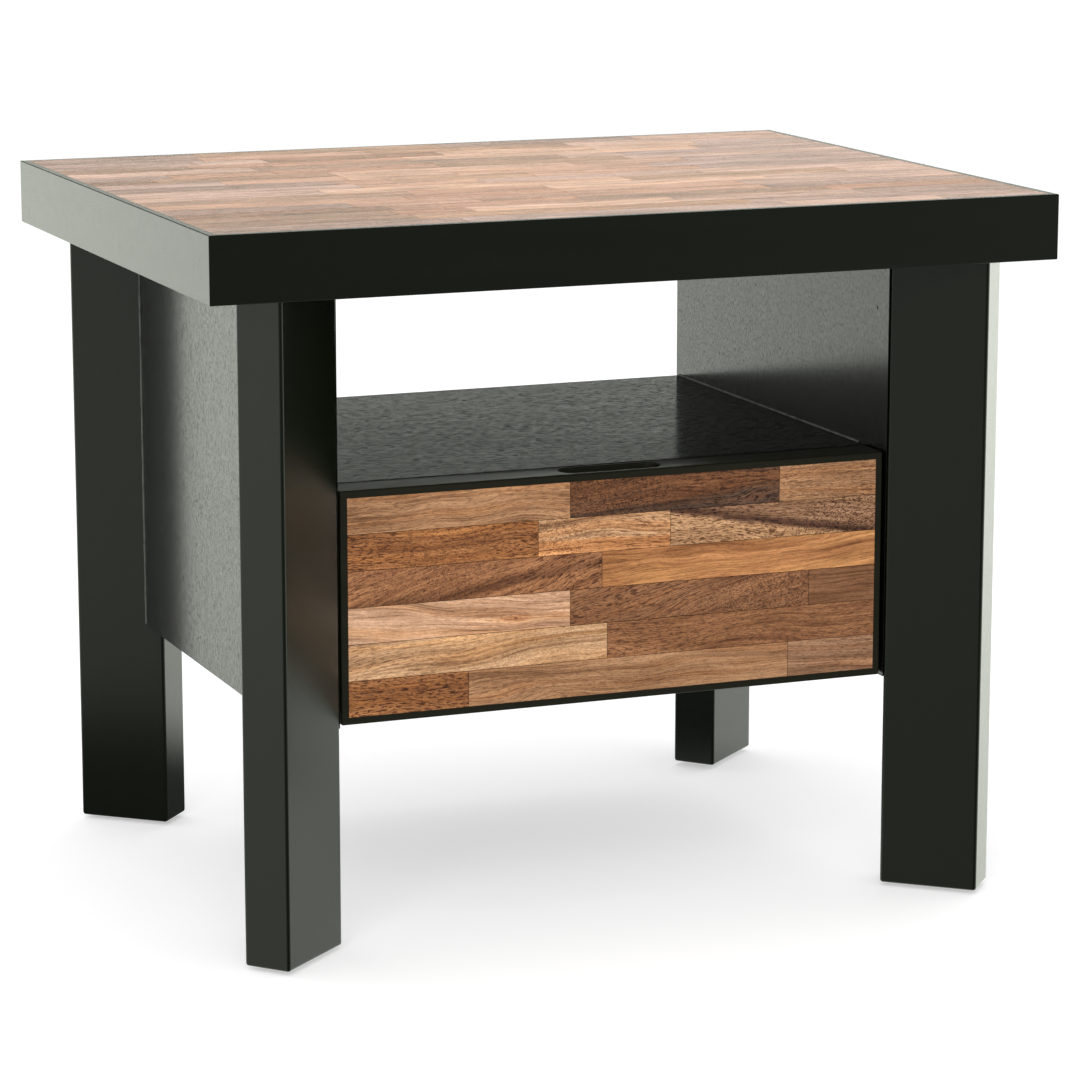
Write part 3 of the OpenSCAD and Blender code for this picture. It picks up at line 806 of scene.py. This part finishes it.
# For each kind of wood: its tone, its second tone, and how strong its pores and its curl are
WOODS = {
    "pale": (rgb(212, 163, 126), rgb(222, 160, 108), 0.45, 0.6),
    "straw": (rgb(210, 162, 118), rgb(218, 156, 96), 0.60, 0.7),
    "blush": (rgb(197, 152, 124), rgb(210, 158, 120), 0.40, 0.3),
    "rose": (rgb(181, 142, 120), rgb(192, 144, 112), 0.45, 0.3),
    "honey": (rgb(196, 142, 106), rgb(208, 144, 94), 0.45, 0.4),
    "golden": (rgb(192, 127, 76), rgb(210, 146, 86), 0.22, 0.1),
    "amber": (rgb(188, 132, 94), rgb(198, 126, 78), 0.55, 0.3),
    "fawn": (rgb(179, 130, 90), rgb(188, 128, 80), 0.55, 0.4),
    "dusk": (rgb(168, 129, 106), rgb(178, 130, 98), 0.60, 0.4),
    "hazel": (rgb(166, 121, 88), rgb(176, 118, 76), 0.65, 0.5),
    "russet": (rgb(168, 109, 63), rgb(184, 116, 58), 0.95, 0.1),
    "chestnut": (rgb(165, 111, 71), rgb(148, 94, 60), 0.70, 0.4),
    "umber": (rgb(150, 101, 66), rgb(158, 102, 62), 0.60, 0.4),
    "walnut": (rgb(134, 85, 51), rgb(92, 67, 52), 0.80, 1.0),
}
PALE_BELOW = rgb(210, 160, 114)
ORANGE_BELOW = rgb(214, 146, 90)
# Front to back, then left to right
SLAB_ROWS = [
    "dusk rose blush rose", "hazel fawn dusk", "hazel amber pale blush dusk", "umber amber hazel amber",
    "dusk honey honey dusk", "honey amber honey blush", "hazel amber pale blush", "blush pale fawn blush",
    "blush honey blush blush", "dusk honey fawn honey dusk", "rose honey pale honey rose",
    "umber fawn pale honey rose", "dusk amber amber fawn blush", "blush hazel blush rose",
    "hazel amber amber pale pale rose", "dusk blush chestnut pale pale rose", "dusk honey fawn blush",
    "dusk fawn dusk blush",
]
# Bottom to top, then left to right. Shade lightens or darkens the wood, and slope is its grain's, in
# degrees. Figure is its pores, its curl and where the curl is. Split gives the second tone's strength,
# edge and lean, and below its colour. Streak gives its strength and both ends, and knot its place and
# its size in millimetres. Places are shares of the half length and half width.
DRAWER_ROWS = [
    [("russet", dict(slope=0, figure=(1.0, 0, 0))),
     ("fawn", dict(slope=1, figure=(0.5, 0.6, 0.75))),
     ("hazel", dict(slope=-2, figure=(0.6, 0.3, -0.5), shade=0.95))],
    [("straw", dict(slope=5, figure=(0.6, 0.7, 0.5))),
     ("chestnut", dict(slope=1, figure=(0.75, 0.3, 0.4)))],
    [("pale", dict(slope=-4, figure=(0.45, 0.5, -0.7), knot=(0.5, -0.3, 1.7))),
     ("umber", dict(slope=14, figure=(0.85, 1, 0.75))),
     ("umber", dict(slope=0, figure=(0.4, 0.5, 0), shade=0.86))],
    [("chestnut", dict(slope=17, figure=(0.9, 0.7, -0.3), streak=(0.6, -1.5, 0.3), shade=1.13)),
     ("golden", dict(slope=2, figure=(0.35, 0, 0), shade=0.97))],
    [("russet", dict(slope=0, figure=(1.0, 0.5, 0), shade=1.08)),
     ("straw", dict(slope=0, figure=(0.75, 1, -0.8), split=(1, -0.2, -0.1), below=ORANGE_BELOW,
                    shade=1.07)),
     ("hazel", dict(slope=-5, figure=(1.0, 1, 0.8), streak=(1, 0.9, -1.2), split=(1, -0.25, -1.05),
                    below=PALE_BELOW))],
    [("fawn", dict(slope=0, figure=(0.55, 0.2, 0))),
     ("walnut", dict(slope=3, figure=(0.9, 1, -0.55), split=(0.75, -0.4, 0.4), knot=(0.78, -0.6, 1.9))),
     ("fawn", dict(slope=-2, figure=(0.8, 0.4, 0)))],
]


def stored(net, shape, name, value, kind="FLOAT", **feeds):
    """The shape with a value kept on its points under a name."""
    feeds = {"Geometry": shape, "Name": name, "Value": value} | feeds
    return net.add("GeometryNodeStoreNamedAttribute", feeds, data_type=kind, domain="POINT").outputs[0]


def kept(net, name, kind):
    return net.add("GeometryNodeInputNamedAttribute", {"Name": name}, data_type=kind).outputs["Attribute"]


def build_stave_layer():
    """Raises each flat quad into a stave with chamfered edges.
    Across has 0 along the way out of the face."""
    net = Net.group("stave_layer",
                    [("Geometry", GEOMETRY, None), ("Thickness", FLOAT, 0.003),
                     ("Chamfer", FLOAT, STAVE_CHAMFER), ("Across", VECTOR, (1, 1, 0)), ("Seed", WHOLE, 3),
                     ("Material", MATERIAL, None)],
                    [("Geometry", GEOMETRY)], "GeometryNodeTree")
    given = net.inputs
    number = kept(net, "stave", "INT")
    anywhere = net.add("FunctionNodeRandomValue", data_type="FLOAT_VECTOR")
    for i, value in ((0, (-3000, -3000, -3000)), (1, (3000, 3000, 3000))):
        anywhere.inputs[i].default_value = value
    net.put(anywhere.inputs["ID"], number)
    net.put(anywhere.inputs["Seed"], given["Seed"])
    started = stored(net, given["Geometry"], "start", anywhere.outputs[0], "FLOAT_VECTOR")
    body = net.add("GeometryNodeExtrudeMesh",
                   {"Mesh": started, "Individual": True,
                    "Offset Scale": net.minus(given["Thickness"], given["Chamfer"])}, mode="FACES")
    rim = stored(net, body.outputs["Mesh"], "rim", 1.0)
    face = net.add("GeometryNodeExtrudeMesh",
                   {"Mesh": rim, "Selection": body.outputs["Top"], "Individual": True,
                    "Offset Scale": given["Chamfer"]}, mode="FACES")
    heart = kept(net, "heart", "FLOAT_VECTOR")
    place = net.add("GeometryNodeInputPosition").outputs[0]
    inward = net.vector("SIGN", net.vector("SUBTRACT", heart, place))
    inward = net.vector("MULTIPLY", inward, given["Across"])
    scaled = net.add("ShaderNodeVectorMath", {0: inward, "Scale": given["Chamfer"]}, operation="SCALE")
    inset = net.add("GeometryNodeSetPosition",
                    {"Geometry": face.outputs["Mesh"], "Selection": face.outputs["Top"],
                     "Offset": scaled.outputs[0]})
    clean = stored(net, inset.outputs[0], "rim", 0.0, Selection=face.outputs["Top"])
    back = net.add("GeometryNodeFlipFaces", {"Mesh": started}).outputs[0]
    both = joined(net, clean, back)
    welded = net.add("GeometryNodeMergeByDistance", {"Geometry": both, "Distance": 1e-6})
    return finished_tree(net, welded)


def make_staves(node, rows, across, out, turn, material, slot, body, cast):
    """Lays the staves of a CAD node again, each with its own wood. Across is the axis over the rows,
    out the axis and the sign that the faces look along, and cast a tint."""
    axis, sign = out
    rng = random.Random(7)
    solids = solids_of(node)
    lowest = min(low[across] for low, high in solids)
    pitch = (max(high[across] for low, high in solids) - lowest) / len(rows)
    places = {}
    for low, high in solids:
        places.setdefault(int(((low + high)[across] / 2 - lowest) / pitch), []).append((low, high))
    turned = Matrix.Rotation(turn[0], 3, "X")
    verts, faces = [], []
    looks = {}
    for row, boxes in sorted(places.items()):
        for i, (low, high) in enumerate(sorted(boxes, key=lambda b: b[0][0])):
            kind, marks = rows[row][i % len(rows[row])]
            tone, second, pores, curl = WOODS[kind]
            second = marks.get("below", second)
            shift = rng.uniform(0.95, 1.05) * marks.get("shade", 1.0)
            back = low[axis] if sign > 0 else high[axis]
            heart = (low + high) / 2
            size = (high - low) / 2
            curl_at = rng.uniform(-1, 1)
            grown = (pores * rng.uniform(0.7, 1.2), curl * rng.uniform(0, 1.3), curl_at)
            slope = marks.get("slope", rng.uniform(-3, 3)) + rng.uniform(-0.5, 0.5)
            faces.append(tuple(range(len(verts), len(verts) + 4)))
            for a, b in ((0, 0), (1, 0), (1, 1), (0, 1)):
                point = np.empty(3)
                point[axis] = back
                point[0] = high[0] if a else low[0]
                point[across] = high[across] if b else low[across]
                verts.append(tuple(point))
            values = {"tone": [v * c * shift for v, c in zip(tone, cast)] + [1],
                      "second_tone": [v * c * shift for v, c in zip(second, cast)] + [1],
                      "middle": turned @ Vector(heart), "heart": heart,
                      "reach": (size[0], size[across], math.radians(slope)),
                      "figure": marks.get("figure", grown)}
            values |= {key: marks.get(key, (0, 0, 0)) for key in ("split", "streak", "knot")}
            values["stave"] = len(faces)
            for key, value in values.items():
                looks.setdefault(key, []).extend([value] * 4)
    mesh = bpy.data.meshes.new(node)
    mesh.from_pydata(verts, [], faces)
    for key, values in looks.items():
        if key == "stave":
            mesh.attributes.new(key, "INT", "POINT").data.foreach_set("value", values)
            continue
        kind, holds = ("FLOAT_COLOR", "color") if "tone" in key else ("FLOAT_VECTOR", "vector")
        flat = np.array([tuple(v) for v in values], np.float32).ravel()
        mesh.attributes.new(key, kind, "POINT").data.foreach_set(holds, flat)
    thickness = float(solids[0][1][axis] - solids[0][0][axis])
    flat_axes = (1, 1, 0) if axis == 2 else (1, 0, 1)
    made = grow(STAVE_LAYER, mesh, Thickness=thickness, Chamfer=STAVE_CHAMFER, Across=flat_axes,
                Material=material)
    return piece("dressed_" + node, made, material, body, slot, node)


STAVE_LAYER = build_stave_layer()


# ---------------------------------------------------------------- drawer front


def obround(length, width, inset, steps=14):
    """Points round a slot with round ends."""
    radius = width / 2 - inset
    straight = length / 2 - width / 2
    points = []
    for side, first in ((1, -90), (-1, 90)):
        for i in range(steps + 1):
            a = math.radians(first + 180 * i / steps)
            points.append((side * straight + radius * math.cos(a), radius * math.sin(a)))
    return points


def make_drawer_front():
    low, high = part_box("drawer_front")
    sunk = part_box("drawer_front_staves")
    slot_y = high.y - SLOT_INSET - SLOT_WIDTH / 2
    bm = bmesh.new()

    def vert(x, y, z):
        return bm.verts.new((x, y, z))

    outer = {(i, j, k): vert((low, high)[i].x, (low, high)[j].y, (low, high)[k].z)
             for i in (0, 1) for j in (0, 1) for k in (0, 1)}
    rim = [vert(x, low.y, z) for x, z in ((sunk[0].x, sunk[0].z), (sunk[1].x, sunk[0].z),
                                          (sunk[1].x, sunk[1].z), (sunk[0].x, sunk[1].z))]
    bed = [vert(v.co.x, sunk[1].y, v.co.z) for v in rim]
    corners = [outer[0, 0, 0], outer[1, 0, 0], outer[1, 0, 1], outer[0, 0, 1]]
    for i in range(4):
        j = (i + 1) % 4
        bm.faces.new((corners[i], corners[j], rim[j], rim[i]))
        bm.faces.new((rim[i], rim[j], bed[j], bed[i]))
    bm.faces.new(bed)
    for keys in (((0, 1, 0), (0, 1, 1), (1, 1, 1), (1, 1, 0)),
                 ((0, 0, 0), (0, 1, 0), (1, 1, 0), (1, 0, 0)),
                 ((0, 0, 0), (0, 0, 1), (0, 1, 1), (0, 1, 0)),
                 ((1, 0, 0), (1, 1, 0), (1, 1, 1), (1, 0, 1))):
        bm.faces.new([outer[k] for k in keys])
    rings = []
    for i in range(5):
        a = math.radians(90 * i / 4)
        rings.append((-SLOT_EASE * (1 - math.sin(a)), SLOT_EASE * (1 - math.cos(a))))
    rings.append((0.0, SLOT_DEPTH))
    loops = [[vert(x, slot_y + y, high.z - drop) for x, y in obround(SLOT_LENGTH, SLOT_WIDTH, inset)]
             for inset, drop in rings]
    for upper, lower in zip(loops, loops[1:]):
        band(bm, upper, lower)
    bm.faces.new(loops[-1])
    lid = [outer[0, 0, 1], outer[1, 0, 1], outer[1, 1, 1], outer[0, 1, 1]]
    edges = [bm.edges.get((a, b)) or bm.edges.new((a, b)) for a, b in zip(lid, lid[1:] + lid[:1])]
    edges += [bm.edges.get((a, b)) for a, b in zip(loops[0], loops[0][1:] + loops[0][:1])]
    bmesh.ops.triangle_fill(bm, edges=edges, use_beauty=True)
    sides = ((0, low.x), (0, high.x), (1, low.y), (1, high.y), (2, low.z), (2, high.z))

    def weigh(edge):
        ends = [v.co for v in edge.verts]
        on = [all(abs(c[i] - v) < SAME for c in ends) for i, v in sides]
        if sum(on) < 2:
            return 0.0
        return 1.0 if on[2] and on[5] else 0.4

    mesh = eased(bm, "drawer_front", FRONT_EASE, weigh, 4)
    piece("dressed_drawer_front", mesh, LACQUER["front"], "drawer", "black_wood", "drawer_front")


# ---------------------------------------------------------------- filler, glides and a nail hole


def build_filler_bead():
    """An uneven bead of filler along each line. Gap noise thins it here and there."""
    net = Net.group("filler_bead",
                    [("Geometry", GEOMETRY, None), ("Radius", FLOAT, 0.0012), ("Unevenness", FLOAT, 0.5),
                     ("Step", FLOAT, 0.003), ("Material", MATERIAL, None)],
                    [("Geometry", GEOMETRY)], "GeometryNodeTree")
    given = net.inputs
    line = net.add("GeometryNodeMeshToCurve", {"Mesh": given["Geometry"]})
    fine = net.add("GeometryNodeResampleCurve", {"Curve": line.outputs[0], "Length": given["Step"]},
                   mode="LENGTH")
    place = net.add("GeometryNodeInputPosition").outputs[0]
    lumps = net.noise(place, (70, 70, 70), 2.0)
    gaps = net.between(net.noise(place, (17, 23, 13), 1.0), 0.27, 0.34, 0.25, 1.0)
    swell = net.plus(1.0, net.times(net.swing(lumps, 2.0), given["Unevenness"]))
    radius = net.times(net.times(swell, gaps), given["Radius"])
    ring = net.add("GeometryNodeCurvePrimitiveCircle", {"Resolution": 10, "Radius": 1.0})
    swept = net.add("GeometryNodeCurveToMesh",
                    {"Curve": fine.outputs[0], "Profile Curve": ring.outputs[0], "Scale": radius,
                     "Fill Caps": True})
    return finished_tree(net, swept)


def line_mesh(name, lines):
    mesh = bpy.data.meshes.new(name)
    verts = [point for line in lines for point in line]
    mesh.from_pydata(verts, [(2 * i, 2 * i + 1) for i in range(len(lines))], [])
    return mesh


def make_filler():
    """Beads where the panels meet the legs and the shelf meets the panels."""
    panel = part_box("side_panel_right")
    foot, head = panel[0].z + FILLER_FOOT, SLAB_UNDER - FILLER_HEAD
    lines = []
    for corner in CORNERS.values():
        x, y = from_leg(corner, past_leg(panel[1].x), LEG_THICKNESS)
        y -= corner[1] * FILLER_SUNK
        lines.append(((x, y, foot), (x, y, head)))
    low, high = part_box("shelf")
    for x in (-CASE_X, CASE_X):
        lines.append(((x, high.y - FILLER_BACK, high.z), (x, low.y + FILLER_FRONT, high.z)))
    made = grow(build_filler_bead(), line_mesh("filler_lines", lines), Material=PAINTED_HIGHLIGHT_FILLER)
    smooth(made)
    piece("filler_beads", made, PAINTED_HIGHLIGHT_FILLER, "table", "black_wood")


def build_domed_glide():
    """A domed glide at each point, its flat foot down, a shoulder round its top and its nail above."""
    net = Net.group("domed_glide",
                    [("Geometry", GEOMETRY, None), ("Radius", FLOAT, 0.009), ("Flat", FLOAT, 0.004),
                     ("Height", FLOAT, GLIDE_HEIGHT), ("Nail radius", FLOAT, NAIL_RADIUS),
                     ("Nail length", FLOAT, 0.018), ("Material", MATERIAL, None)],
                    [("Geometry", GEOMETRY)], "GeometryNodeTree")
    given = net.inputs
    block = net.add("GeometryNodeMeshCylinder", {"Vertices": 40, "Side Segments": 8, "Fill Segments": 3,
                                                 "Radius": given["Radius"], "Depth": given["Height"]})
    x, y, z = net.split(net.add("GeometryNodeInputPosition").outputs[0])
    down = net.minus(DOME_TOP, net.over(z, given["Height"]))
    down = net.math("MAXIMUM", net.over(down, DOME_REACH), 0.0)
    bow = net.math("SQRT", net.minus(1.0, net.math("MINIMUM", net.times(down, down), 1.0)))
    flat = net.over(given["Flat"], given["Radius"])
    waist = net.plus(flat, net.times(bow, net.minus(1.0, flat)))
    dome = net.add("GeometryNodeSetPosition",
                   {"Geometry": block.outputs[0],
                    "Position": net.join(net.times(x, waist), net.times(y, waist), z)})
    rounded = net.add("GeometryNodeSetShadeSmooth", {"Geometry": dome.outputs[0]})
    nail = net.add("GeometryNodeMeshCylinder", {"Vertices": 16, "Radius": given["Nail radius"],
                                                "Depth": given["Nail length"]})
    middle = net.times(net.plus(given["Height"], given["Nail length"]), 0.5)
    raised = net.add("GeometryNodeTransform",
                     {"Geometry": nail.outputs[0],
                      "Translation": net.join(0.0, 0.0, net.minus(middle, NAIL_SUNK))})
    both = joined(net, rounded.outputs[0], raised.outputs[0])
    on_points = net.add("GeometryNodeInstanceOnPoints",
                        {"Points": given["Geometry"], "Instance": both})
    return finished_tree(net, on_points)


def make_glides():
    solids = solids_of("leg_glides")
    mesh = bpy.data.meshes.new("glide_places")
    mesh.from_pydata([((low[0] + high[0]) / 2, (low[1] + high[1]) / 2, low[2] + GLIDE_HEIGHT / 2)
                      for low, high in solids], [], [])
    low, high = solids[0]
    sizes = {"Radius": float(high[0] - low[0]) / 2, "Height": GLIDE_HEIGHT, "Nail radius": NAIL_RADIUS,
             "Nail length": float(high[2] - low[2]) - GLIDE_HEIGHT + NAIL_SUNK}
    made = grow(build_domed_glide(), mesh, Material=GLIDE, **sizes)
    piece("dressed_leg_glides", made, GLIDE, "table", "steel", "leg_glides")


def make_nail_hole():
    """A stopped nail hole on the inside of the right-hand panel, as a small flattened ball."""
    middle = Vector((CASE_X, NAIL_HOLE_Y, NAIL_HOLE_Z))
    bm = bmesh.new()

    def vert(rise, turn=0):
        rise, turn = math.radians(rise), math.radians(turn)
        ball = (math.cos(rise) * math.cos(turn), math.cos(rise) * math.sin(turn), math.sin(rise))
        place = Vector(a * b * NAIL_HOLE_RADIUS for a, b in zip(ball, NAIL_HOLE_SHAPE))
        return bm.verts.new(place + middle)

    rings = [[vert(rise * 22.5, turn) for turn in range(0, 360, 30)] for rise in range(-3, 4)]
    for lower, upper in zip(rings, rings[1:]):
        band(bm, lower, upper)
    for ring, pole in ((rings[0][::-1], vert(-90)), (rings[-1], vert(90))):
        for a, b in zip(ring, ring[1:] + ring[:1]):
            bm.faces.new((a, b, pole))
    mesh = plain_mesh(bm, "stopped_nail_hole")
    piece("stopped_nail_hole", mesh, NAIL_HOLE, "table", "black_wood")


def finish_cad_nodes():
    """The nodes that stay as they are get their materials."""
    finishes = {
        "top_core": LACQUER["back"], "case_floor": LACQUER["back"], "case_back": LACQUER["back"],
        "runner_left": BOX_WOOD, "runner_right": BOX_WOOD, "runner_screws": ZINC,
        "stop_rail": BOX_WOOD_X, "board_dowels": BEECH, "side_top_dowels": BEECH, "leg_side_dowels": BEECH,
        "leg_top_dowels": BEECH, "drawer_side_left": BOX_WOOD, "drawer_side_right": BOX_WOOD,
        "drawer_back": BOX_WOOD_X, "drawer_bottom": PLY, "drawer_bottom_screws": ZINC,
        "drawer_stop_pins": BEECH,
    }
    for name, material in finishes.items():
        slots = nodes[name].material_slots
        for slot in slots:
            slot.material = material
        if not slots:
            nodes[name].data.materials.append(material)


set_up_camera()
set_up_world()
softbox("front_softbox", (-1.6, -3.0, 2.4), (0, 0, 0.35), (2.6, 2.0), 46)
softbox("top_softbox", (0.4, 0.6, 2.9), (0, 0, 0.4), (2.4, 2.4), 24)
lay_floor()
make_legs()
make_side_panels()
make_shelf()
make_lippings()
make_staves("top_staves", [[(kind, {}) for kind in row.split()] for row in SLAB_ROWS], 1, (2, 1), ALONG_X,
            TOP_STAVES, "top_staves", "table", (1.11, 1.09, 1.21))
make_staves("drawer_front_staves", DRAWER_ROWS, 2, (1, -1), UPRIGHT_FACE, FRONT_STAVES,
            "front_staves", "drawer", (1, 1, 1))
make_drawer_front()
make_filler()
make_glides()
make_nail_hole()
finish_cad_nodes()

scene.view_settings.view_transform = "Standard"
